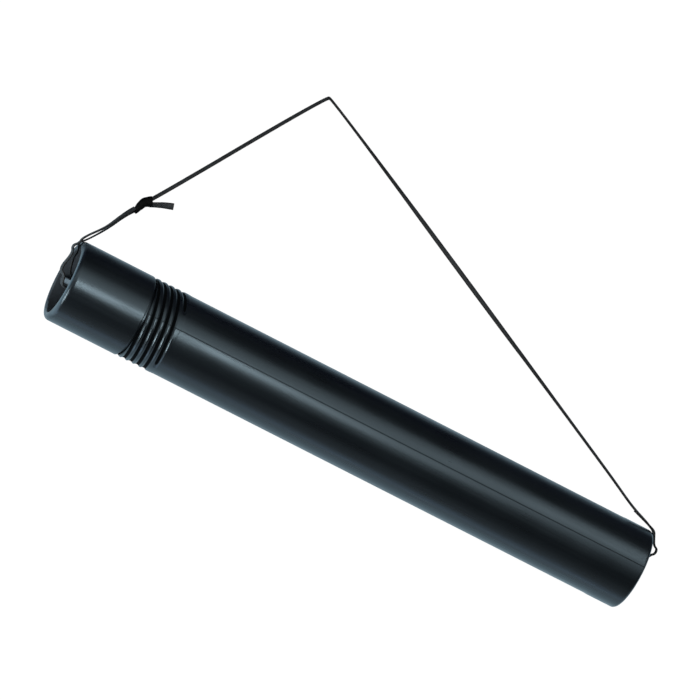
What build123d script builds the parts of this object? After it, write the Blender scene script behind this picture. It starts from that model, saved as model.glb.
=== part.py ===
from build123d import *
import os
from math import atan2, cos, degrees, radians, sin, tan

# Telescopic drawing tube: two blow-moulded tubes that screw and slide into each other,
# with a knotted carrying lace passed round a bar in the recess of each end.
# The closed tube lies along X on the plane Z = 0, with its head at -X.
# All sizes are in millimetres.

# Tubes
TUBE_RADIUS = 42.0  # outside of the head, of the mouth and of the foot
OUTER_LENGTH = 556.0
HEAD_LENGTH = 79.0
SEAM_GAP = 2.5  # open ring between head and mouth when closed
OUTER_WALL = 1.6
INNER_WALL = 1.4
BODY_RELIEF = 0.3  # body drawn in between the mouth and the foot
FOOT_BAND = 30.0  # length of the foot at full radius

# Thread: one multi-start helix runs through the mouth, the neck and the inner end
THREAD_STARTS = 4
THREAD_LEAD = 29.0
THREAD_BAND = 35.0  # length of the threaded mouth
THREAD_INSET = 1.5  # plain lip before and behind the ridges
THREAD_END_ANGLE = 45.0  # about X, where a groove of the mouth runs out
GROOVE_DEPTH = 1.25
GROOVE_FLOOR = 0.7  # width of a groove's flat floor
LAND_ROUND = 4.8  # of the lands between the grooves
LAND_RISE = 0.08  # where a land's round ends above the surface, clear of it
LAND_EDGE = 3.2  # and how far from the groove's middle
GROOVE_RUN_OUT = 12.0
RIDGE_HEIGHT = 1.3
RIDGE_ROOT = 0.15  # how deep a ridge is rooted in its wall
FLANK_SLOPE = 0.75  # along X for each millimetre of height

# Fits between the tubes
SLIDE_CLEARANCE = 0.5  # inner tube under the mouth's ridges
CREST_CLEARANCE = 0.35  # inner tube's ridges under the body's bore
FLANK_CLEARANCE = 0.6  # along X, between the ridges in mesh
INNER_LEAD_IN = 6.0  # plain end beyond the inner thread
BARREL_RELIEF = 0.2  # barrel drawn in between its two threads
BARREL_INSET = 2.0  # from a thread's end to where the barrel draws in
RELIEF_RUN = 4.0  # length of the slope at each end of a drawn-in wall
RELIEF_ROUND = 10.0
END_CLEARANCE = 20.0  # least gap between inner tube and foot when closed

# Recessed ends
HEAD_RIM_ROUND = 5.0
FOOT_RIM_ROUND = 3.5
RIM_INNER_ROUND = 2.0
RIM_CREST = 0.2  # flat between the head's two rounds
RECESS_DEPTH = 20.0
RECESS_CORNER = 4.0
SHOULDER_ROUND = 0.8
BAR_WIDTH = 6.0
BAR_THICKNESS = 5.0
BAR_ROUND = 2.2
BAR_INSET = 4.0  # bar's outer face below the rim
BAR_ROOT = 0.8  # bar's ends inside the recess wall

# Mould parting line along the outer tube
PARTING_ANGLE = 10.6  # from the top line towards +Y
PARTING_WIDTH = 0.9
PARTING_DEPTH = 0.35
PARTING_INSET = 4.0  # clear of the thread and of the rim's round

# Carrying lace: a plain round tube takes the place of the flat woven lace
LACE_DIAMETER = 5.0
BEND_SHARE = 0.45  # part of the shorter run that a bend takes up

# Knot: place, heading about Z and (width, height) of its three sections
KNOT_SECTIONS = [
    ((-279.9, 91.5), 60.7, (6.0, 11.0)),
    ((-275.3, 99.7), 46.0, (9.0, 11.0)),
    ((-268.3, 105.4), 27.0, (11.0, 9.0)),
]
KNOT_ROUND = 2.5

# Lace at the ends: distance outside the rim, Y, and height above the tube's axis
LOOP_ROUND_BAR = [
    (0.4, 4.0, 2.0),
    (-0.2, -6.0, 0.9),
    (-12.2, -6.0, -0.9),
    (-12.4, 4.0, -2.0),
    (-6.5, 13.5, -2.7),
    (-1.0, 23.5, -2.8),
    (3.9, 34.0, -2.8),
    (2.6, 42.2, -2.8),
    (-6.0, 46.7, -2.8),
]
HEAD_SLACK = [
    (-3.5, 47.2, 1.0),
    (1.6, 43.8, 2.8),
    (4.0, 38.0, 2.8),
    (5.2, 32.0, 2.8),
    (3.2, 25.0, 2.8),
    (3.0, 15.5, 2.6),
]
FOOT_SLACK = [
    (-6.5, 46.0, 2.8),
    (0.8, 43.6, 3.0),
    (3.0, 38.8, 4.0),
    (6.6, 30.5, 5.5),
    (10.9, 28.6, 7.0),
    (10.9, 23.4, 7.0),
    (7.8, 20.6, 5.0),
]

# Sizes that follow
closed_length = HEAD_LENGTH + SEAM_GAP + OUTER_LENGTH
head_end = -closed_length / 2
seam = head_end + HEAD_LENGTH
mouth = seam + SEAM_GAP
foot_end = closed_length / 2
start_step = 360 / THREAD_STARTS
groove_end = mouth + THREAD_BAND - LAND_EDGE
mouth_bore_radius = TUBE_RADIUS - OUTER_WALL
body_radius = TUBE_RADIUS - BODY_RELIEF
body_bore_radius = body_radius - OUTER_WALL
body_start = mouth + THREAD_BAND
body_end = foot_end - FOOT_BAND
mouth_ridge_radius = mouth_bore_radius - RIDGE_HEIGHT
inner_radius = mouth_ridge_radius - SLIDE_CLEARANCE
inner_ridge_radius = body_bore_radius - CREST_CLEARANCE
engaged_radius = (mouth_ridge_radius + inner_ridge_radius) / 2
engaged_width = THREAD_LEAD / THREAD_STARTS / 2 - FLANK_CLEARANCE
ridge_width = engaged_width + 2 * FLANK_SLOPE * (mouth_bore_radius - engaged_radius)
ridge_start = mouth + THREAD_INSET + ridge_width / 2
ridge_length = THREAD_BAND - 2 * THREAD_INSET - ridge_width
recess_radius = TUBE_RADIUS - HEAD_RIM_ROUND - RIM_CREST - RIM_INNER_ROUND
neck_end = ridge_start + ridge_length + ridge_width / 2 + INNER_LEAD_IN
foot_floor = foot_end - RECESS_DEPTH - OUTER_WALL
travel = THREAD_LEAD * ((foot_floor - END_CLEARANCE - neck_end) // THREAD_LEAD)
inner_end = neck_end + travel
barrel_start = neck_end + BARREL_INSET
barrel_end = ridge_start + travel - ridge_width / 2 - BARREL_INSET
barrel_radius = inner_radius - BARREL_RELIEF
lace_radius = LACE_DIAMETER / 2
entry_place, entry_heading, entry_size = KNOT_SECTIONS[0]
exit_place, exit_heading, exit_size = KNOT_SECTIONS[-1]


def moulded_wall(points, rounds, wall, inward):
    """Thin wall of revolution about X, open at its first point and closed at its last."""
    floor_x = points[-1][0]
    first_x, first_radius = points[0]
    past_axis = -4 * wall

    def section(open_x):
        skin = FilletPolyline((open_x, first_radius), *points[1:], (floor_x, past_axis), radius=rounds)
        back = Polyline((floor_x, past_axis), (open_x, past_axis), (open_x, first_radius))
        return make_face(skin.edges() + back.edges())

    hollow = offset(section(first_x + 4 * wall * inward), amount=-wall)
    upper_half = Pos(0, closed_length) * Rectangle(4 * closed_length, 2 * closed_length)
    return revolve((section(first_x) - hollow) & upper_half, Axis.X, 360)


def recessed_end(end_x, inward):
    """Section points of a rolled rim and its recess, down to the recess floor."""
    floor_x = end_x + inward * RECESS_DEPTH
    return [(end_x, TUBE_RADIUS), (end_x, recess_radius), (floor_x, recess_radius)]


def strap_bar(end_x, inward):
    """Moulded bar across a recess."""
    section = RectangleRounded(BAR_THICKNESS, BAR_WIDTH, BAR_ROUND)
    bar = extrude(section, amount=recess_radius + BAR_ROOT, both=True)
    return Pos(end_x + inward * (BAR_INSET + BAR_THICKNESS / 2), 0, 0) * bar


def thread_helix(start_x, length, radius, phase=0.0):
    """Helix about X that lies on the mouth's thread, turned by phase degrees."""
    helix = Helix(THREAD_LEAD, length, radius, center=(start_x, 0, 0), direction=(1, 0, 0))
    begin = helix @ 0
    wanted = THREAD_END_ANGLE - 360 * (groove_end - start_x) / THREAD_LEAD + phase
    return Rot(X=wanted - degrees(atan2(begin.Z, begin.Y))) * helix


def all_starts(solid):
    return [Rot(X=start_step * start) * solid for start in range(THREAD_STARTS)]


def groove_section(place, heading):
    """Section of a groove between two rounded lands, at a place on the thread's line."""
    plane = Plane(place, x_dir=(0, place.Y, place.Z), z_dir=heading)
    above = 2 * GROOVE_DEPTH
    corners = [(-GROOVE_DEPTH, side * GROOVE_FLOOR / 2) for side in (1, -1)]
    edges = [(LAND_RISE, side * LAND_EDGE) for side in (1, -1)]
    floor = Line(corners[1], corners[0])
    lid = Polyline(edges[0], (above, LAND_EDGE), (above, -LAND_EDGE), edges[1])
    lands = [RadiusArc(corners[0], edges[0], LAND_ROUND), RadiusArc(edges[1], corners[1], LAND_ROUND)]
    return plane * make_face(floor.edges() + lid.edges() + lands[0].edges() + lands[1].edges())


def mouth_grooves():
    """Grooves of the mouth: they begin outside its edge and run out of the wall on a tangent."""
    first_x = mouth - 2 * LAND_EDGE
    helix = thread_helix(first_x, groove_end - first_x, TUBE_RADIUS)
    groove = sweep(groove_section(helix @ 0, helix % 0), path=Wire(helix.edges()), is_frenet=True)
    run_out = extrude(groove_section(helix @ 1, helix % 1), amount=GROOVE_RUN_OUT)
    return all_starts(groove) + all_starts(run_out)


def ridges(start_x, root_radius, crest_radius, phase=0.0):
    """Raised threads between two radii."""
    helix = thread_helix(start_x, ridge_length, root_radius, phase)
    begin = helix @ 0
    plane = Plane(begin, x_dir=(0, begin.Y, begin.Z), z_dir=helix % 0)
    root = engaged_width / 2 + FLANK_SLOPE * abs(root_radius - engaged_radius)
    crest = engaged_width / 2 - FLANK_SLOPE * abs(crest_radius - engaged_radius)
    height = crest_radius - root_radius
    section = plane * make_face(Polyline((0, -root), (0, root), (height, crest), (height, -crest), close=True))
    return all_starts(sweep(section, path=Wire(helix.edges()), is_frenet=True))


def parting_line():
    """Fine groove along the outer tube, on both halves of the mould."""
    first_x = body_start + PARTING_INSET
    length = foot_end - FOOT_RIM_ROUND - PARTING_INSET - first_x
    strip = Box(length, PARTING_WIDTH, 2 * PARTING_DEPTH)
    centre_x = first_x + length / 2
    return [Rot(X=turn - PARTING_ANGLE) * Pos(centre_x, 0, body_radius) * strip for turn in (0, 180)]


def drawn_in(first_x, last_x, radius, relief):
    """Section points of a wall that is drawn in between two places along X."""
    run = RELIEF_RUN if last_x > first_x else -RELIEF_RUN
    waist = [(first_x + run, radius - relief), (last_x - run, radius - relief)]
    return [(first_x, radius)] + waist + [(last_x, radius)]


def outer_tube():
    points = [(mouth, TUBE_RADIUS)] + drawn_in(body_start, body_end, TUBE_RADIUS, BODY_RELIEF)
    rounds = [RELIEF_ROUND] * 4 + [FOOT_RIM_ROUND, RIM_INNER_ROUND, RECESS_CORNER]
    tube = moulded_wall(points + recessed_end(foot_end, -1), rounds, OUTER_WALL, -1)
    tube += strap_bar(foot_end, -1)
    tube += ridges(ridge_start, mouth_bore_radius + RIDGE_ROOT, mouth_ridge_radius)
    return tube - mouth_grooves() - parting_line()


def inner_tube():
    barrel = [(inner_end, inner_radius)] + drawn_in(barrel_end, barrel_start, inner_radius, BARREL_RELIEF)
    shoulder = [(seam, inner_radius), (seam, TUBE_RADIUS)]
    rounds = [RELIEF_ROUND] * 4 + [SHOULDER_ROUND] * 2 + [HEAD_RIM_ROUND, RIM_INNER_ROUND, RECESS_CORNER]
    tube = moulded_wall(barrel + shoulder + recessed_end(head_end, 1), rounds, INNER_WALL, 1)
    tube += strap_bar(head_end, 1)
    for start_x in (ridge_start, ridge_start + travel):
        tube += ridges(start_x, inner_radius - RIDGE_ROOT, inner_ridge_radius, start_step / 2)
    return tube


def at_end(points, end_x, outward):
    return [(end_x + outward * out, y, height) for out, y, height in points]


def along(place, heading, forward, aside, height):
    """Point in front of and beside a place, on a heading about Z, at a height above the floor."""
    turn = radians(heading)
    x = place[0] + forward * cos(turn) + aside * sin(turn)
    y = place[1] + forward * sin(turn) - aside * cos(turn)
    return (x, y, height - TUBE_RADIUS)


def foot_route():
    """From the lace's sewn end, round the foot's bar and over the floor to the knot."""
    sewn_end = [(293.5, 52.3, -1.0)]
    round_bar = at_end(FOOT_SLACK + LOOP_ROUND_BAR, foot_end, 1)
    down = [(292.5, 54.2, 34.5), (266.5, 68.8, 25.0), (242.3, 82.0, 14.0), (215.6, 96.0, 5.2)]
    along_floor = [(188.8, 109.3), (-155.3, 274.4), (-161.3, 273.1), (-268.1, 108.1)]
    floor_points = [(x, y, lace_radius) for x, y in along_floor]
    return sewn_end + round_bar + [(x, y, z - TUBE_RADIUS) for x, y, z in down + floor_points]


def head_route():
    """From the knot, round the head's bar and back to the knot."""
    upper = entry_size[1] / 2 + LACE_DIAMETER * 0.55
    lower = entry_size[1] / 2 - LACE_DIAMETER * 0.55
    start = [along(entry_place, entry_heading, ahead, 0, upper) for ahead in (0, -8.5)]
    finish = [along(entry_place, entry_heading, ahead, 0, lower) for ahead in (-8.5, 0)]
    up, down = [(-300.6, 64.2, -15.0)], [(-298.4, 62.6, -21.4)]
    round_bar = at_end(HEAD_SLACK + LOOP_ROUND_BAR, head_end, -1)
    return start + up + round_bar + down + finish


def tail_route():
    """From the knot to the cut end."""
    aside = exit_size[0] / 2 - lace_radius
    start = [along(exit_place, exit_heading, ahead, aside, lace_radius) for ahead in (0, 9.4)]
    return start + [(-247.9, 110.3, lace_radius - TUBE_RADIUS)]


def bend_radii(points):
    """Radius of each bend: a share of its shorter run over the tangent of half its turn."""
    corners = [Vector(*point) for point in points]
    radii = []
    for before, corner, after in zip(corners, corners[1:], corners[2:]):
        run_in, run_out = corner - before, after - corner
        half_turn = radians(run_in.get_angle(run_out) / 2)
        radii.append(BEND_SHARE * min(run_in.length, run_out.length) / tan(half_turn))
    return radii


def lace(name, points):
    radii = bend_radii(points)
    path = FilletPolyline(*points, radius=radii)
    section = Plane(path @ 0, z_dir=path % 0) * Circle(lace_radius)
    solid = sweep(section, path=path)
    share = solid.volume / (section.area * path.length)
    print(f"{name}: length {path.length:.1f}, volume share {share:.4f}, radii", [round(r, 1) for r in radii])
    return solid


def knot():
    faces = []
    for place, heading, (width, height) in KNOT_SECTIONS:
        centre = along(place, heading, 0, 0, height / 2)
        turn = radians(heading)
        plane = Plane(centre, x_dir=(sin(turn), -cos(turn), 0), z_dir=(cos(turn), sin(turn), 0))
        faces.append(plane * RectangleRounded(width, height, KNOT_ROUND))
    return loft(faces, ruled=True)


nodes = {
    "outer_tube": outer_tube(),
    "inner_tube": inner_tube(),
    "strap_run": lace("strap_run", foot_route()),
    "strap_loop": lace("strap_loop", head_route()),
    "strap_tail": lace("strap_tail", tail_route()),
    "strap_knot": knot(),
}

os.makedirs("parts", exist_ok=True)
for name, solid in nodes.items():
    export_step(Pos(0, 0, TUBE_RADIUS) * solid, f"parts/{name}.step")
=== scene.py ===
# A black telescopic drawing tube lies closed on a pale floor, its flat carrying lace laid out beside it.
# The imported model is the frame: every piece here is in metres, in the same row frame.

import logging
import math
from collections.abc import Sequence
from dataclasses import dataclass, field
from enum import Enum

import bmesh
import bpy
from mathutils import Matrix, Vector

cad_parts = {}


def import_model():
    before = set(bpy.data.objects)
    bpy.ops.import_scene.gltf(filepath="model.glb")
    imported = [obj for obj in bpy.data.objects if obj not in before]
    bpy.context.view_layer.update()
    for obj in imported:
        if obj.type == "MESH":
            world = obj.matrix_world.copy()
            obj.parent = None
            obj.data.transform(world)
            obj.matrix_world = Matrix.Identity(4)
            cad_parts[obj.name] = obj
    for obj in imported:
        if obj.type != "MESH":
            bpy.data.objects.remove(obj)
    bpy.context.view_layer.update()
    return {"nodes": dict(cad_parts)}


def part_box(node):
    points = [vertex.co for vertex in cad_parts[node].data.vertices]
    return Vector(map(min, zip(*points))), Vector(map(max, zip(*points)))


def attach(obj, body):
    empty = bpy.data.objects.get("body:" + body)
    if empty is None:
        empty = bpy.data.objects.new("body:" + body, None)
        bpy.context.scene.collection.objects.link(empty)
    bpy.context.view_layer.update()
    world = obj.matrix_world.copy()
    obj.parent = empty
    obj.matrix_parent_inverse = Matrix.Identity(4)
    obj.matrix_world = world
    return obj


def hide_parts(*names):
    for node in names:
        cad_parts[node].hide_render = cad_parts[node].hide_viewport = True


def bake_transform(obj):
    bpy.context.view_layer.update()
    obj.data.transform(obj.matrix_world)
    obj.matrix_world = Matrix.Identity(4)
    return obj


LOG = logging.getLogger("drawing_tube")
Point = tuple[float, float, float]
Span = tuple[float, float]
Colour = tuple[float, float, float, float]
Stops = tuple[tuple[float, tuple[float, float, float]], ...]


class Body(Enum):
    """The frame's bodies that the lace rides on."""

    OUTER = "outer"
    LACE_END = "lace_end"


class Slot(Enum):
    """A material slot name for the lace, which nothing here gives to a piece."""

    LACE = "lace"


class Sheet:
    """A material's node tree, laid down node by node."""

    def __init__(self, name: str, room: bool = False) -> None:
        """Starts an empty material, or the room's own node tree.

        Args:
            name: the material's or the room's name.
            room: whether it is the room.
        """
        self.owner = (bpy.data.worlds if room else bpy.data.materials).new(name)
        self.owner.use_nodes = True
        self.tree = self.owner.node_tree
        self.tree.nodes.clear()

    def add(self, kind: str, **sockets: object) -> bpy.types.Node:
        """Adds one node and fills its inputs.

        Args:
            kind: the node's type, without its prefix.
            **sockets: values or output sockets for the inputs, by name with underscores for spaces.

        Returns:
            The new node.
        """
        node = self.tree.nodes.new("ShaderNode" + kind)
        for name, value in sockets.items():
            self.feed(node.inputs[name.replace("_", " ")], value)
        return node

    def feed(self, socket: bpy.types.NodeSocket, value: object) -> None:
        """Gives an input a value, or links it to an output socket.

        Args:
            socket: the input.
            value: the value or output socket.
        """
        if isinstance(value, bpy.types.NodeSocket):
            self.tree.links.new(value, socket)
        else:
            socket.default_value = value

    def math(self, operation: str, first: object, second: object = 0.0) -> bpy.types.NodeSocket:
        """Adds a Math node.

        Args:
            operation: Blender's name of the operation.
            first: the first value or socket.
            second: the second value or socket.

        Returns:
            The result's socket.
        """
        node = self.add("Math")
        node.operation = operation
        self.feed(node.inputs[0], first)
        self.feed(node.inputs[1], second)
        return node.outputs[0]

    def between(self, value: object, low: float, high: float) -> bpy.types.NodeSocket:
        """Finds where a value lies between two limits.

        Args:
            value: the value or socket.
            low: the lower limit.
            high: the upper limit.

        Returns:
            The socket of 1 between the limits and 0 outside them.
        """
        return self.math("MULTIPLY", self.math("GREATER_THAN", value, low), self.math("LESS_THAN", value, high))

    def spread(self, value: object, low: float, high: float, at_low: float, at_high: float) -> bpy.types.NodeSocket:
        """Maps a value smoothly from one range to another.

        Args:
            value: the value or socket to map.
            low: where the range starts.
            high: where it ends.
            at_low: the result at its start.
            at_high: the result at its end.

        Returns:
            The result's socket.
        """
        node = self.add("MapRange", Value=value, From_Min=low, From_Max=high, To_Min=at_low, To_Max=at_high)
        node.interpolation_type = "SMOOTHSTEP"
        return node.outputs[0]

    def blend(self, share: object, first: object, second: object) -> bpy.types.NodeSocket:
        """Mixes two colours.

        Args:
            share: how much of the second colour shows.
            first: the first colour or socket.
            second: the second colour or socket.

        Returns:
            The mixed colour's socket.
        """
        node = self.add("Mix")
        node.data_type = "RGBA"
        self.feed(node.inputs["Factor"], share)
        self.feed(node.inputs[6], first)
        self.feed(node.inputs[7], second)
        return node.outputs[2]

    def close(self, shader: bpy.types.NodeSocket) -> bpy.types.Material:
        """Links the shader to the surface output.

        Args:
            shader: the shader's socket.

        Returns:
            The material.
        """
        self.add("OutputMaterial", Surface=shader)
        return self.owner


@dataclass(frozen=True)
class Ramp:
    """A colour that changes in straight steps between stops."""

    BRIGHTEST = 4.0

    stops: Stops
    low: float
    high: float

    def node(self, sheet: Sheet, value: bpy.types.NodeSocket) -> bpy.types.NodeSocket:
        """Adds the ramp to a node tree.

        Args:
            sheet: the node tree.
            value: what the ramp reads.

        Returns:
            The colour's socket, as a share of the brightest.
        """
        scaled = sheet.add("MapRange", Value=value, From_Min=self.low, From_Max=self.high)
        ramp = sheet.add("ValToRGB", Fac=scaled.outputs[0])
        elements = ramp.color_ramp.elements
        while len(elements) < len(self.stops):
            elements.new(1.0)
        for element, (place, colour) in zip(elements, self.stops):
            element.position = (place - self.low) / (self.high - self.low)
            element.color = (*(part / self.BRIGHTEST for part in colour), 1.0)
        return ramp.outputs[0]


@dataclass(frozen=True)
class MouldedPlastic:
    """Satin black blow-moulded plastic with faint flow lines along the tube."""

    name: str
    axis_z: float
    rolled: tuple[float, float] | None = None
    parting_y: float | None = None
    plain: tuple[float, float] | None = None
    dark: Colour = (0.0034, 0.0047, 0.0061, 1.0)
    light: Colour = (0.0052, 0.0068, 0.0086, 1.0)
    # Painted shade colour for the rolled grooves and the parting line.
    painted_shade: Colour = (0.0008, 0.0010, 0.0012, 1.0)
    # Paler bluish-grey colour for patches deep inside the closed ends' recesses.
    recess_tone: Colour = (0.0480, 0.0560, 0.0640, 1.0)
    sheen_tint: Colour = (0.66, 0.88, 1.0, 1.0)
    smooth: float = 0.27
    dull: float = 0.36
    matt: float = 0.85
    refraction: float = 1.5
    shine: float = 0.5
    shaded_shine: float = 0.04
    flow_length: float = 0.30
    flow_width: float = 0.006
    flow_share: float = 0.6
    flow_bump: Span = (0.10, 0.0004)
    patch_scale: float = 14.0
    patch_share: float = 0.4
    grain: float = 0.0007
    grain_bump: Span = (0.06, 0.0001)
    uneven: Span = (0.35, 0.65)
    recess_patches: Span = (0.3, 0.7)
    least_recess_tone: float = 0.5
    outer_wall: float = 0.0405
    groove_floor: Span = (0.04095, 0.04130)
    line_width: Span = (0.00030, 0.00080)
    line_shade: float = 0.5
    recess_depth: Span = (0.2960, 0.3000)
    recess_wall: Span = (0.0345, 0.0365)

    def material(self) -> bpy.types.Material:
        """Builds the plastic's material.

        Returns:
            The material.
        """
        sheet = Sheet(self.name)
        place = sheet.add("TexCoord").outputs["Object"]
        stretch = sheet.add("Mapping", Vector=place)
        stretch.inputs["Scale"].default_value = (1 / self.flow_length, 1 / self.flow_width, 1 / self.flow_width)
        flow = sheet.add("TexNoise", Vector=stretch.outputs[0], Scale=1.0, Detail=3.0, Roughness=0.55)
        patches = sheet.add("TexNoise", Vector=place, Scale=self.patch_scale, Detail=2.0)
        grain = sheet.add("TexNoise", Vector=place, Scale=1 / self.grain, Detail=1.0)
        streaks = sheet.math("MULTIPLY", flow.outputs[0], self.flow_share)
        mixed = sheet.math("ADD", streaks, sheet.math("MULTIPLY", patches.outputs[0], self.patch_share))
        parts = sheet.add("SeparateXYZ", Vector=place)
        up = sheet.math("SUBTRACT", parts.outputs["Z"], self.axis_z)
        squares = sheet.math("ADD", sheet.math("POWER", parts.outputs["Y"], 2.0), sheet.math("POWER", up, 2.0))
        radius = sheet.math("SQRT", squares)
        painted_shade_share = self.painted_shade_share(sheet, parts, radius)
        # Paler bluish-grey in patches deep inside the closed ends' recesses.
        patchy_tone = sheet.spread(patches.outputs[0], *self.recess_patches, self.least_recess_tone, 1.0)
        toned = sheet.math("MULTIPLY", self.recessed(sheet, parts, radius), patchy_tone)
        colour = sheet.blend(toned, sheet.blend(mixed, self.dark, self.light), self.recess_tone)
        # Painted shade: the rolled grooves and the parting line turn near-black, rougher and lose most of their
        # shine.
        colour = sheet.blend(painted_shade_share, colour, self.painted_shade)
        satin = sheet.spread(mixed, *self.uneven, self.smooth, self.dull)
        roughness = sheet.math("ADD", satin, sheet.math("MULTIPLY", painted_shade_share, self.matt - self.dull))
        strength, depth = self.flow_bump
        coarse = sheet.add("Bump", Height=flow.outputs[0], Strength=strength, Distance=depth)
        if self.plain is not None:
            sheet.feed(coarse.inputs["Normal"], self.evened(sheet, parts, up, radius))
        strength, depth = self.grain_bump
        fine = sheet.add("Bump", Height=grain.outputs[0], Strength=strength, Distance=depth, Normal=coarse.outputs[0])
        shader = sheet.add(
            "BsdfPrincipled", Base_Color=colour, Roughness=roughness, IOR=self.refraction, Normal=fine.outputs[0]
        )
        shader.inputs["Specular Tint"].default_value = self.sheen_tint
        shine = sheet.spread(painted_shade_share, 0.0, 1.0, self.shine, self.shaded_shine)
        sheet.feed(shader.inputs["Specular IOR Level"], shine)
        return sheet.close(shader.outputs[0])

    def painted_shade_share(self, sheet: Sheet, parts: bpy.types.Node, radius: bpy.types.NodeSocket) -> object:
        """Finds the painted shade in the rolled grooves and along the mould's parting line: darker, rougher and less
        shiny there.

        Args:
            sheet: the material's node tree.
            parts: the node that splits the place into X, Y and Z.
            radius: the distance from the tube's axis.

        Returns:
            The socket of the share of painted shade, or 0 where there is none.
        """
        share: object = 0.0
        if self.rolled is not None:
            deep = sheet.spread(radius, *self.groove_floor, 1.0, 0.0)
            share = sheet.math("MULTIPLY", deep, sheet.between(parts.outputs["X"], *self.rolled))
        if self.parting_y is not None:
            aside = sheet.math("ABSOLUTE", sheet.math("SUBTRACT", parts.outputs["Y"], self.parting_y))
            above = sheet.math("GREATER_THAN", parts.outputs["Z"], self.axis_z)
            line = sheet.math("MULTIPLY", sheet.spread(aside, *self.line_width, self.line_shade, 0.0), above)
            share = sheet.math("MAXIMUM", share, line)
        return share

    def evened(
        self, sheet: Sheet, parts: bpy.types.Node, up: bpy.types.NodeSocket, radius: bpy.types.NodeSocket
    ) -> bpy.types.NodeSocket:
        """Turns the plain wall's shading straight out from the axis, so that its slight draw doesn't show.

        Args:
            sheet: the material's node tree.
            parts: the node that splits the place into X, Y and Z.
            up: the height above the tube's axis.
            radius: the distance from it.

        Returns:
            The shading normal.
        """
        wall = sheet.math("GREATER_THAN", radius, self.outer_wall)
        share = sheet.math("MULTIPLY", sheet.between(parts.outputs["X"], *self.plain), wall)
        sideways = sheet.math("DIVIDE", parts.outputs["Y"], radius)
        outward = sheet.add("CombineXYZ", X=0.0, Y=sideways, Z=sheet.math("DIVIDE", up, radius))
        node = sheet.add("Mix")
        node.data_type = "VECTOR"
        sheet.feed(node.inputs["Factor"], share)
        sheet.feed(node.inputs[4], sheet.add("TexCoord").outputs["Normal"])
        sheet.feed(node.inputs[5], outward.outputs[0])
        return node.outputs[1]

    def recessed(self, sheet: Sheet, parts: bpy.types.Node, radius: bpy.types.NodeSocket) -> bpy.types.NodeSocket:
        """Finds how far a place lies inside a closed end's recess, where the colour turns paler.

        Args:
            sheet: the material's node tree.
            parts: the node that splits the place into X, Y and Z.
            radius: the distance from the tube's axis.

        Returns:
            The share of the paler colour.
        """
        deep = sheet.spread(sheet.math("ABSOLUTE", parts.outputs["X"]), *self.recess_depth, 0.0, 1.0)
        return sheet.math("MULTIPLY", deep, sheet.spread(radius, *self.recess_wall, 1.0, 0.0))


@dataclass(frozen=True)
class WovenLace:
    """Flat black woven lace: herringbone ribs, paler along the middle of its faces, with near-black edges as painted
    shade.
    """

    name: str = "woven_lace"
    # Painted shade: the lace's narrow edges are near-black, the middles of its faces paler.
    edge: Colour = (0.0012, 0.0016, 0.0020, 1.0)
    middle: Colour = (0.0230, 0.0300, 0.0340, 1.0)
    rib_pitch: float = 0.0011
    rib_slant: float = 0.9
    rib_depth: float = 0.00012
    rib_bump: float = 0.8
    column_dip: float = 0.6
    patch_scale: float = 160.0
    uneven: Span = (0.35, 0.65)
    most_worn: float = 0.55
    pale_middle: Span = (0.35, 0.95)
    roughness: float = 0.62
    shine: float = 0.30
    sheen: float = 0.05
    sheen_roughness: float = 0.4

    def material(self) -> bpy.types.Material:
        """Builds the lace's material from its UV map: U runs round the lace and V along it, in metres.

        Returns:
            The material.
        """
        sheet = Sheet(self.name)
        parts = sheet.add("SeparateXYZ", Vector=sheet.add("UVMap").outputs[0])
        across = sheet.math("ABSOLUTE", sheet.math("COSINE", sheet.math("MULTIPLY", parts.outputs["X"], math.tau)))
        along = sheet.math("DIVIDE", parts.outputs["Y"], self.rib_pitch)
        slanted = sheet.math("ADD", along, sheet.math("MULTIPLY", across, self.rib_slant))
        rib = sheet.math("ABSOLUTE", sheet.math("SINE", sheet.math("MULTIPLY", slanted, math.pi)))
        column = sheet.math("ABSOLUTE", sheet.math("COSINE", sheet.math("MULTIPLY", across, 2 * math.tau)))
        weave = sheet.math("MULTIPLY", rib, sheet.spread(column, 0.0, 1.0, self.column_dip, 1.0))
        place = sheet.add("TexCoord").outputs["Object"]
        patches = sheet.add("TexNoise", Vector=place, Scale=self.patch_scale, Detail=2.0)
        worn = sheet.math("MULTIPLY", sheet.spread(patches.outputs[0], *self.uneven, self.most_worn, 1.0), weave)
        # Painted shade: the narrow edges take the near-black edge colour.
        centre = sheet.spread(across, *self.pale_middle, 1.0, 0.0)
        colour = sheet.blend(sheet.math("MULTIPLY", centre, worn), self.edge, self.middle)
        bump = sheet.add("Bump", Height=weave, Strength=self.rib_bump, Distance=self.rib_depth)
        shader = sheet.add("BsdfPrincipled", Base_Color=colour, Roughness=self.roughness, Normal=bump.outputs[0])
        shader.inputs["Specular IOR Level"].default_value = self.shine
        shader.inputs["Sheen Weight"].default_value = self.sheen
        shader.inputs["Sheen Roughness"].default_value = self.sheen_roughness
        return sheet.close(shader.outputs[0])


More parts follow.
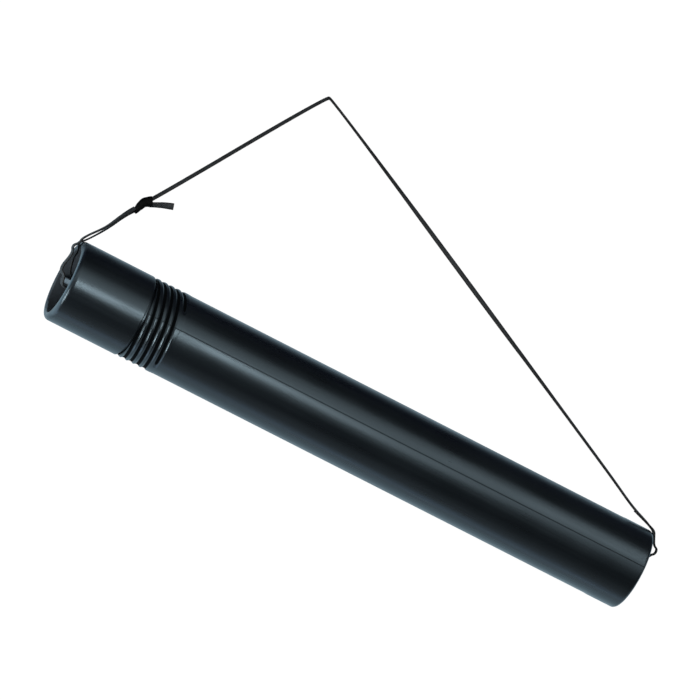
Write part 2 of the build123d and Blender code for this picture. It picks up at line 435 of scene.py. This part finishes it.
@dataclass(frozen=True)
class PaleFloor:
    """White studio floor with a faint shadow; reflections see soft bands on it, brighter beyond the head."""

    albedo: float = 0.88
    plain_share: float = 0.93
    plain_level: float = 1.05
    reach: float = 1.0
    ahead_x: float = -0.35
    ahead_gain: float = 2.8
    soft_edge: float = 0.03
    mirrored: Stops = (
        (-1.0, (1.20, 1.60, 2.10)),
        (-0.3, (0.76, 0.84, 0.90)),
        (-0.13, (0.63, 0.86, 1.00)),
        (0.06, (0.55, 0.76, 0.90)),
        (0.13, (0.0, 0.0, 0.02)),
    )

    def material(self) -> bpy.types.Material:
        """Builds the floor's material.

        Returns:
            The material.
        """
        sheet = Sheet("pale_floor")
        paper = sheet.add("BsdfDiffuse", Color=(self.albedo, self.albedo, self.albedo, 1.0))
        white = sheet.add("Emission", Strength=self.plain_level)
        path = sheet.add("LightPath").outputs
        seen = sheet.add("MixShader", Fac=sheet.math("MULTIPLY", path["Is Camera Ray"], self.plain_share))
        sheet.feed(seen.inputs[1], paper.outputs[0])
        sheet.feed(seen.inputs[2], white.outputs[0])
        parts = sheet.add("SeparateXYZ", Vector=sheet.add("TexCoord").outputs["Object"])
        ramp = Ramp(self.mirrored, -self.reach, self.reach).node(sheet, parts.outputs["Y"])
        ahead = sheet.spread(parts.outputs["X"], self.ahead_x - self.soft_edge, self.ahead_x, self.ahead_gain, 1.0)
        mirror = sheet.add("Emission", Color=ramp, Strength=sheet.math("MULTIPLY", ahead, Ramp.BRIGHTEST))
        mixed = sheet.add("MixShader", Fac=path["Is Glossy Ray"])
        sheet.feed(mixed.inputs[1], seen.outputs[0])
        sheet.feed(mixed.inputs[2], mirror.outputs[0])
        return sheet.close(mixed.outputs[0])


@dataclass(frozen=True)
class Station:
    """One cross-section of a swept lace."""

    centre: Vector
    heading: Vector
    roll: float
    width: float
    thickness: float
    distance: float

    def matrix(self) -> Matrix:
        """Places a unit ring here: X across the width, Y through the thickness, Z along the lace.

        Returns:
            The ring's place.
        """
        ahead = self.heading.normalized()
        face = (Vector((0, 0, 1)) - ahead * ahead.z).normalized()
        side = face.cross(ahead)
        turn = Matrix.Rotation(self.roll, 3, ahead)
        side, face = turn @ side, turn @ face
        axes = Matrix((side * self.width / 2, face * self.thickness / 2, ahead)).transposed().to_4x4()
        return Matrix.Translation(self.centre) @ axes


@dataclass(frozen=True)
class FlatLace:
    """The lace's own section: rounded edges and flat faces."""

    ring_points: int = 14
    squareness: float = 0.72

    def sweep(self, name: str, stations: Sequence[Station]) -> bpy.types.Object:
        """Sweeps the lace's section through stations, with U round it and V along it.

        Args:
            name: the new piece's name.
            stations: the cross-sections in order.

        Returns:
            The new piece, linked to the scene.
        """
        mesh = bmesh.new()
        around = mesh.verts.layers.float.new("around")
        along = mesh.verts.layers.float.new("along")
        ring = bmesh.ops.create_circle(mesh, segments=self.ring_points, radius=1.0)["verts"]
        for vertex in ring:
            vertex[around] = math.atan2(vertex.co.y, vertex.co.x) / math.tau % 1.0
            vertex.co.x = math.copysign(abs(vertex.co.x) ** self.squareness, vertex.co.x)
            vertex.co.y = math.copysign(abs(vertex.co.y) ** self.squareness, vertex.co.y)
        place = stations[0].matrix()
        bmesh.ops.transform(mesh, matrix=place, verts=ring)
        edges = list(mesh.edges)
        for station in stations[1:]:
            made = bmesh.ops.extrude_edge_only(mesh, edges=edges)["geom"]
            ring = [part for part in made if isinstance(part, bmesh.types.BMVert)]
            fresh = set(ring)
            edges = [part for part in made if isinstance(part, bmesh.types.BMEdge) and set(part.verts) <= fresh]
            bmesh.ops.transform(mesh, matrix=station.matrix() @ place.inverted(), verts=ring)
            place = station.matrix()
            for vertex in ring:
                vertex[along] = station.distance
        bmesh.ops.holes_fill(mesh, edges=[edge for edge in mesh.edges if edge.is_boundary], sides=0)
        uv = mesh.loops.layers.uv.new("lace")
        for face in mesh.faces:
            turns = [loop.vert[around] for loop in face.loops]
            wraps = max(turns) - min(turns) > 0.5
            for loop, turn in zip(face.loops, turns):
                loop[uv].uv = (turn + 1.0 if wraps and turn < 0.5 else turn, loop.vert[along])
            face.smooth = len(face.verts) == 4
        bmesh.ops.recalc_face_normals(mesh, faces=mesh.faces)
        return piece_from(mesh, name)


def piece_from(mesh: bmesh.types.BMesh, name: str) -> bpy.types.Object:
    """Turns a bmesh into a linked object at the origin.

    Args:
        mesh: the finished bmesh, which is freed.
        name: the piece's name.

    Returns:
        The new object.
    """
    data = bpy.data.meshes.new(name)
    mesh.to_mesh(data)
    mesh.free()
    piece = bpy.data.objects.new(name, data)
    bpy.context.scene.collection.objects.link(piece)
    return piece


def dress(piece: bpy.types.Object, material: bpy.types.Material, body: Body | None) -> None:
    """Gives a piece its only material and its body.

    Args:
        piece: the piece.
        material: what it is made of.
        body: the body it rides on, or None to leave it on no body.
    """
    piece.data.materials.clear()
    piece.data.materials.append(material)
    if body is not None:
        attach(piece, body.value)
    LOG.info("%s: %d faces", piece.name, len(piece.data.polygons))


@dataclass(frozen=True)
class Ends:
    """Where the tube's two rims and its axis lie, read from the frame."""

    head_x: float
    foot_x: float
    axis_z: float

    @classmethod
    def from_frame(cls) -> "Ends":
        """Reads the rims from the two tubes' boxes.

        Returns:
            The ends.
        """
        outer_low, outer_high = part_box("outer_tube")
        inner_low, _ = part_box("inner_tube")
        return cls(inner_low.x, outer_high.x, (outer_low.z + outer_high.z) / 2)

    def outside(self, points: Sequence[Point], end_x: float, outward: int) -> list[Point]:
        """Turns distances outside a rim, Y and heights above the axis into places in the row frame.

        Args:
            points: the lace's points at an end.
            end_x: that rim's place along X.
            outward: the way out of the tube, 1 or -1.

        Returns:
            The points in the row frame.
        """
        return [(end_x + outward * out, y, self.axis_z + height) for out, y, height in points]


# The lace's route points are the part's own, in metres, moved a little where the photograph shows it.
# Those round a bar are distances outside its rim, Y and heights above the axis; the others are X, Y and Z.
BAR_TURN = (
    (0.0004, 0.0040, 0.0020),
    (-0.0002, -0.0060, 0.0009),
    (-0.0122, -0.0060, -0.0009),
    (-0.0124, 0.0040, -0.0020),
)
HEAD_RETURN = (
    (-0.0033, 0.0075, -0.0024),
    (0.0001, 0.0246, -0.0025),
    (-0.0015, 0.0309, -0.0024),
    (0.0025, 0.0387, -0.0021),
    (-0.0029, 0.0430, -0.0018),
)
FOOT_RETURN = (
    (-0.0065, 0.0135, -0.0027),
    (-0.0010, 0.0235, -0.0028),
    (0.0039, 0.0340, -0.0028),
    (0.0026, 0.0422, -0.0028),
    (-0.0060, 0.0467, -0.0028),
)
HEAD_SLACK = (
    (0.0019, 0.0448, 0.0036),
    (0.0028, 0.0381, 0.0051),
    (0.0076, 0.0331, 0.0037),
    (0.0035, 0.0267, 0.0027),
    (0.0072, 0.0075, -0.0025),
)
FOOT_SLACK = (
    (-0.0065, 0.0460, 0.0028),
    (0.0008, 0.0436, 0.0030),
    (0.0030, 0.0388, 0.0040),
    (0.0066, 0.0305, 0.0055),
    (0.0109, 0.0286, 0.0070),
    (0.0109, 0.0234, 0.0070),
    (0.0078, 0.0206, 0.0050),
)
SEWN_END = ((0.2935, 0.0523, 0.0410),)
FOOT_TO_KNOT = (
    (0.2925, 0.0542, 0.0345),
    (0.2665, 0.0688, 0.0250),
    (0.2423, 0.0820, 0.0140),
    (0.2156, 0.0960, 0.0052),
    (0.1888, 0.1093, 0.0025),
    (-0.1553, 0.2744, 0.0025),
    (-0.1613, 0.2731, 0.0025),
    (-0.2668, 0.1101, 0.0028),
    (-0.2714, 0.1050, 0.0042),
)
KNOT_TO_RIM = (
    (-0.2808, 0.0925, 0.0073),
    (-0.2861, 0.0857, 0.0089),
    (-0.2997, 0.0647, 0.0254),
)
RIM_TO_KNOT = (
    (-0.2987, 0.0618, 0.0206),
    (-0.2844, 0.0823, 0.0033),
    (-0.2787, 0.0893, 0.0032),
)
TAIL = (
    (-0.2686, 0.1018, 0.0032),
    (-0.2585, 0.1070, 0.0025),
    (-0.2462, 0.1108, 0.0025),
)


@dataclass(frozen=True)
class Profile:
    """A value that changes smoothly along the lace."""

    shares: tuple[float, ...]
    values: tuple[float, ...]

    def at(self, share: float) -> float:
        """Reads the value at one place.

        Args:
            share: the place, as a share of the lace's length.

        Returns:
            The value there.
        """
        for here, there, first, second in zip(self.shares, self.shares[1:], self.values, self.values[1:]):
            if share <= there:
                part = (share - here) / (there - here)
                return first + (second - first) * part * part * (3 - 2 * part)
        return self.values[-1]


@dataclass
class LacePiece:
    """One stretch of the lace along its route, with its turn about its own line: 0 lies flat, 90 stands on edge."""

    name: str
    route: Sequence[Point]
    roll: Profile
    width: Profile = Profile((0.0, 1.0), (0.0050, 0.0050))
    thickness: Profile = Profile((0.0, 1.0), (0.0018, 0.0018))
    section: FlatLace = field(default_factory=FlatLace)
    steps: int = 20
    floor_lift: float = 0.0027
    floor_gap: float = 0.0002
    least_step: float = 1e-5
    line: list[Vector] = field(default_factory=list)

    def spline(self) -> bpy.types.Object:
        """Builds the route's NURBS curve.

        Returns:
            The curve, linked to the scene.
        """
        data = bpy.data.curves.new(self.name + "_route", "CURVE")
        data.dimensions = "3D"
        spline = data.splines.new("NURBS")
        spline.points.add(len(self.route) - 1)
        for control, point in zip(spline.points, self.route):
            control.co = (*point, 1.0)
        spline.order_u = 3
        spline.use_endpoint_u = True
        spline.resolution_u = self.steps
        curve = bpy.data.objects.new(self.name + "_route", data)
        bpy.context.scene.collection.objects.link(curve)
        return curve

    def read_line(self) -> None:
        """Reads the points that the lace follows from its spline."""
        curve = self.spline()
        bpy.context.view_layer.update()
        data = bpy.data.meshes.new_from_object(curve)
        points = [vertex.co.copy() for vertex in data.vertices]
        bpy.data.objects.remove(curve)
        bpy.data.meshes.remove(data)
        steps = zip(points, [None, *points])
        self.line = [point for point, last in steps if last is None or (point - last).length > self.least_step]

    def length(self) -> float:
        """Measures the line.

        Returns:
            Its length.
        """
        return sum((after - before).length for before, after in zip(self.line, self.line[1:]))

    def stations(self) -> list[Station]:
        """Finds the cross-sections along the line, laid down on the floor where the route runs on it.

        Returns:
            The cross-sections in order.
        """
        whole = self.length()
        found = []
        distance = 0.0
        for index, point in enumerate(self.line):
            before = self.line[max(index - 1, 0)]
            after = self.line[min(index + 1, len(self.line) - 1)]
            distance += (point - before).length
            share = distance / whole
            roll = math.radians(self.roll.at(share))
            width, thickness = self.width.at(share), self.thickness.at(share)
            half_height = math.hypot(width / 2 * math.sin(roll), thickness / 2 * math.cos(roll))
            lifted = point.z > self.floor_lift
            centre = point if lifted else Vector((point.x, point.y, half_height + self.floor_gap))
            found.append(Station(centre, after - before, roll, width, thickness, distance))
        return found

    def build(self) -> bpy.types.Object:
        """Builds the lace's mesh.

        Returns:
            The new piece.
        """
        self.read_line()
        return self.section.sweep(self.name, self.stations())


@dataclass
class CarryingLace:
    """The whole lace: the run round the foot's bar, the loop round the head's, the knot and its tail."""

    ends: Ends
    run_roll: Profile = Profile(
        (0.0, 0.08, 0.15, 0.18, 0.30, 0.52, 0.76, 0.86, 1.0),
        (84, 86, 84, 64, 58, 19, 64, 55, 52),
    )
    loop_roll: Profile = Profile(
        (0.0, 0.08, 0.16, 0.26, 0.34, 0.44, 0.56, 0.72, 0.86, 1.0),
        (52, 60, 86, 88, 76, 68, 68, 76, 88, 80),
    )
    tail_roll: Profile = Profile((0.0, 1.0), (12, 4))
    tail_width: Profile = Profile((0.0, 1.0), (0.0052, 0.0068))
    width: float = 0.0050

    def build(self, lace: bpy.types.Material, knot: bpy.types.Material) -> None:
        """Args:
            lace: the lace's material.
            knot: the material of its knot, a near-black copy of the lace's that paints the knot's shade.
        """
        run = LacePiece("strap_run_lace", self.run_route(), self.run_roll)
        loop = LacePiece("strap_loop_lace", self.loop_route(), self.loop_roll)
        tail = LacePiece("strap_tail_lace", TAIL, self.tail_roll, self.tail_width)
        run_piece, loop_piece, tail_piece = run.build(), loop.build(), tail.build()
        knot_piece = Knot().build()
        dress(run_piece, lace, None)
        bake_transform(run_piece)
        dress(loop_piece, lace, Body.LACE_END)
        dress(tail_piece, lace, Body.LACE_END)
        dress(knot_piece, knot, Body.LACE_END)
        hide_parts("strap_run")
        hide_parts("strap_loop")
        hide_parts("strap_tail")
        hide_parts("strap_knot")

    def run_route(self) -> list[Point]:
        """Lays the run from the sewn end, round the foot's bar and over the floor to the knot.

        Returns:
            The route's points.
        """
        round_bar = self.ends.outside(FOOT_SLACK + BAR_TURN + FOOT_RETURN, self.ends.foot_x, 1)
        return [*SEWN_END, *round_bar, *FOOT_TO_KNOT]

    def loop_route(self) -> list[Point]:
        """Lays the loop from the knot, round the head's bar and back to the knot.

        Returns:
            The route's points.
        """
        round_bar = self.ends.outside(HEAD_SLACK + BAR_TURN + HEAD_RETURN, self.ends.head_x, -1)
        return [*KNOT_TO_RIM, *round_bar, *RIM_TO_KNOT]


@dataclass(frozen=True)
class Knot:
    """The lace's knot: one turn drawn tight over its strands, wider towards the run, where it ends straight."""

    places: tuple[Point, ...] = (
        (-0.2794, 0.0886, 0.0050),
        (-0.2783, 0.0915, 0.0052),
        (-0.2772, 0.0960, 0.0055),
        (-0.2752, 0.1012, 0.0056),
        (-0.2722, 0.1035, 0.0054),
        (-0.2686, 0.1054, 0.0050),
    )
    width: Profile = Profile((0.0, 0.16, 0.45, 0.72, 1.0), (0.0050, 0.0060, 0.0080, 0.0096, 0.0109))
    height: Profile = Profile(
        (0.0, 0.16, 0.30, 0.45, 0.58, 0.72, 0.86, 1.0),
        (0.0072, 0.0092, 0.0102, 0.0094, 0.0104, 0.0094, 0.0098, 0.0090),
    )
    roll: Profile = Profile((0.0, 1.0), (0.0, 0.0))
    section: FlatLace = FlatLace(ring_points=24, squareness=0.85)
    wall: float = 0.0012
    lip_depth: float = 0.0018

    def build(self) -> bpy.types.Object:
        """Builds the knot as a swollen sleeve with soft creases and a hollow end.

        Returns:
            The new piece.
        """
        sleeve = LacePiece(
            "strap_knot_sleeve", self.places, self.roll, self.width, self.height, self.section, floor_lift=0.0
        )
        piece = sleeve.build()
        mesh = bmesh.new()
        mesh.from_mesh(piece.data)
        caps = [face for face in mesh.faces if len(face.verts) > 4]
        end = max(caps, key=lambda face: face.calc_center_median().y)
        bmesh.ops.inset_region(mesh, faces=[end], thickness=self.wall)
        inward = -self.lip_depth * end.normal
        lip = bmesh.ops.extrude_discrete_faces(mesh, faces=[end])["faces"]
        bmesh.ops.translate(mesh, vec=inward, verts=lip[0].verts)
        mesh.to_mesh(piece.data)
        mesh.free()
        return piece


@dataclass
class TubePair:
    """The two moulded tubes, which keep the frame's own shapes."""

    nodes: dict[str, bpy.types.Object]
    axis_z: float
    thread_band: float = 0.035
    parting_y: float = 0.00767
    plain_from: float = 0.0360
    plain_to: float = 0.0070

    def dress(self) -> None:
        """Gives each tube its plastic; the outer one's paints shade into the rolled grooves and along the parting
        line.
        """
        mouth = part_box("outer_tube")[0].x
        plain = (mouth + self.plain_from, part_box("outer_tube")[1].x - self.plain_to)
        outer = MouldedPlastic("outer_plastic", self.axis_z, (mouth, mouth + self.thread_band), self.parting_y, plain)
        for name, plastic in (("outer_tube", outer), ("inner_tube", MouldedPlastic("inner_plastic", self.axis_z))):
            tube = self.nodes[name]
            tube.data.materials.clear()
            tube.data.materials.append(plastic.material())
            LOG.info("%s: %d faces", name, len(tube.data.polygons))


def hang_light(name: str, size: Span, power: float, place: Matrix) -> None:
    """Hangs a soft rectangular light that shines down its own Z axis.

    Args:
        name: the light's name.
        size: its sides.
        power: its power in watts.
        place: where it hangs and how it is turned.
    """
    data = bpy.data.lights.new(name, "AREA")
    data.shape = "RECTANGLE"
    data.size, data.size_y = size
    data.energy = power
    light = bpy.data.objects.new(name, data)
    bpy.context.scene.collection.objects.link(light)
    light.matrix_world = place


@dataclass(frozen=True)
class Panel:
    """A soft light above the tube, turned towards its axis."""

    angle: float
    along: float
    power: float
    distance: float = 1.6
    size: Span = (0.24, 0.353)

    def hang(self) -> None:
        """Hangs the light, the angle being measured from straight above towards the lace's side."""
        turn = Matrix.Rotation(-math.radians(self.angle), 4, "X")
        place = Matrix.Translation((self.along, 0, 0)) @ turn @ Matrix.Translation((0, 0, self.distance))
        hang_light("panel", self.size, self.power, place)


@dataclass(frozen=True)
class Glow:
    """A low soft light that faces one point."""

    place: Point
    faces: Point
    power: float
    size: Span

    def hang(self) -> None:
        """Hangs the light."""
        away = Vector(self.place) - Vector(self.faces)
        place = Matrix.Translation(self.place) @ away.to_track_quat("Z", "Y").to_matrix().to_4x4()
        hang_light("glow", self.size, self.power, place)


@dataclass(frozen=True)
class Studio:
    """Pale floor, soft lights and the camera at the photograph's angle."""

    floor_size: float = 12.0
    tilt: float = 13.06
    roll: float = 27.13
    distance: float = 8.0
    lens: float = 423.9
    sensor: float = 36.0
    aim_along: float = -0.03375
    aim_across: float = 0.0652
    panels: tuple[Panel, ...] = (
        Panel(angle=8.0, along=0.00, power=6.7),
        Panel(angle=8.0, along=0.24, power=1.7),
        Panel(angle=33.0, along=0.72, power=1.12),
        Panel(angle=47.0, along=0.72, power=1.38),
    )
    glow: Glow = Glow(place=(-1.0, -0.45, 0.45), faces=(-0.32, 0.0, 0.05), power=9.0, size=(0.4, 0.3))
    fill: float = 0.60
    sky: Stops = (
        (-95.0, (0.56, 0.56, 0.56)),
        (-70.0, (0.32, 0.32, 0.32)),
        (-45.0, (0.0, 0.0, 0.0)),
        (-20.0, (0.0, 0.0, 0.0)),
        (5.0, (0.18, 0.18, 0.18)),
        (30.0, (1.98, 1.98, 1.98)),
        (60.0, (0.0, 0.0, 0.0)),
    )

    def build(self, axis_z: float) -> None:
        """Builds the studio.

        Args:
            axis_z: height of the tube's axis, at which the camera is aimed.
        """
        self.lay_floor()
        for lamp in (*self.panels, self.glow):
            lamp.hang()
        self.light_room()
        self.place_camera(axis_z)
        bpy.context.scene.view_settings.view_transform = "Standard"

    def lay_floor(self) -> None:
        """Lays the floor under the tube."""
        mesh = bmesh.new()
        bmesh.ops.create_grid(mesh, x_segments=1, y_segments=1, size=self.floor_size / 2)
        floor = piece_from(mesh, "studio_floor")
        floor.data.materials.append(PaleFloor().material())

    def light_room(self) -> None:
        """Lights the room: white where the camera sees it, soft bands in reflections, and an even fill."""
        sheet = Sheet("room", room=True)
        path = sheet.add("LightPath").outputs
        parts = sheet.add("SeparateXYZ", Vector=sheet.add("TexCoord").outputs["Generated"])
        turn = sheet.math("ARCTAN2", parts.outputs["Y"], parts.outputs["Z"])
        angle = sheet.math("DEGREES", turn)
        first, last = self.sky[0][0], -self.sky[0][0]
        bands = Ramp(self.sky, first, last).node(sheet, angle)
        even = sheet.math("MAXIMUM", path["Is Camera Ray"], self.fill)
        plain = sheet.add("Background", Strength=even)
        mirrored = sheet.add("Background", Color=bands, Strength=Ramp.BRIGHTEST)
        mixed = sheet.add("MixShader", Fac=path["Is Glossy Ray"])
        sheet.feed(mixed.inputs[1], plain.outputs[0])
        sheet.feed(mixed.inputs[2], mirrored.outputs[0])
        sheet.add("OutputWorld", Surface=mixed.outputs[0])
        bpy.context.scene.world = sheet.owner

    def place_camera(self, axis_z: float) -> None:
        """Places the camera, rolled so that the tube runs down to the right.

        Args:
            axis_z: height of the tube's axis.
        """
        tilt, roll = math.radians(self.tilt), math.radians(self.roll)
        back = Vector((-math.sin(tilt), 0, math.cos(tilt)))
        along = Vector((math.cos(tilt), 0, math.sin(tilt)))
        across = Vector((0, 1, 0))
        right = along * math.cos(roll) + across * math.sin(roll)
        up = across * math.cos(roll) - along * math.sin(roll)
        aim = Vector((0, 0, axis_z)) + along * self.aim_along + across * self.aim_across
        data = bpy.data.cameras.new("camera")
        data.lens, data.sensor_width = self.lens, self.sensor
        camera = bpy.data.objects.new("camera", data)
        bpy.context.scene.collection.objects.link(camera)
        axes = Matrix((right, up, back)).transposed().to_4x4()
        camera.matrix_world = Matrix.Translation(aim + back * self.distance) @ axes
        bpy.context.scene.camera = camera


def main() -> None:
    """Loads the frame and builds the tube's looks and the studio."""
    logging.basicConfig(level=logging.INFO, format="%(name)s: %(message)s")
    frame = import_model()
    ends = Ends.from_frame()
    Studio().build(ends.axis_z)
    TubePair(frame["nodes"], ends.axis_z).dress()
    # Painted shade: the knot's lace is a near-black copy of the lace's material.
    shaded_knot_lace = WovenLace(
        "knot_shaded_lace", edge=(0.0006, 0.0007, 0.0008, 1.0), middle=(0.0012, 0.0015, 0.0018, 1.0), shine=0.06, sheen=0.0
    )
    CarryingLace(ends).build(WovenLace().material(), shaded_knot_lace.material())


if __name__ == "__main__":
    main()
